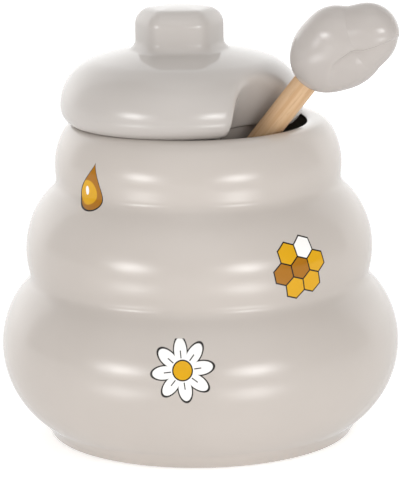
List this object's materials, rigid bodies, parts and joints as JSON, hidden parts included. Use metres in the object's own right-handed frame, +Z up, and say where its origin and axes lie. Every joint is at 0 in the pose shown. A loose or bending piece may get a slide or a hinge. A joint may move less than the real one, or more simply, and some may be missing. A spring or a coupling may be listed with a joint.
{
  "type": "honey pot",
  "caption": "Beehive-shaped glazed honey pot with a notched lift-off lid and a wooden dipper that leans out of it.",
  "frame": {"origin": "middle of the flat foot, on the table", "axes": "+Z up along the pot's axis, -Y towards the user, +X to the user's right, where the dipper leans out"},
  "size_m": [0.114, 0.114, 0.1269],
  "materials": {
    "pot_glaze": "glossy off-white glaze",
    "lid_glaze": "glossy off-white glaze",
    "dipper_wood": "plain turned wood",
    "finial_glaze": "glossy off-white glaze"
  },
  "bodies": {
    "pot": {"pot": "pot_glaze"},
    "lid": {"lid": "lid_glaze"},
    "dipper": {"dipper": "dipper_wood", "finial": "finial_glaze"}
  },
  "joints": [
    {"name": "lid_lift", "type": "slide", "parent": "pot", "child": "lid", "axis": [0, 0, 1], "range_m": [0, 0.06]},
    {"name": "dipper_pull", "type": "slide", "parent": "pot", "child": "dipper", "axis": [0.5611, -0.2871, 0.7764], "range_m": [0, 0.05]}
  ]
}
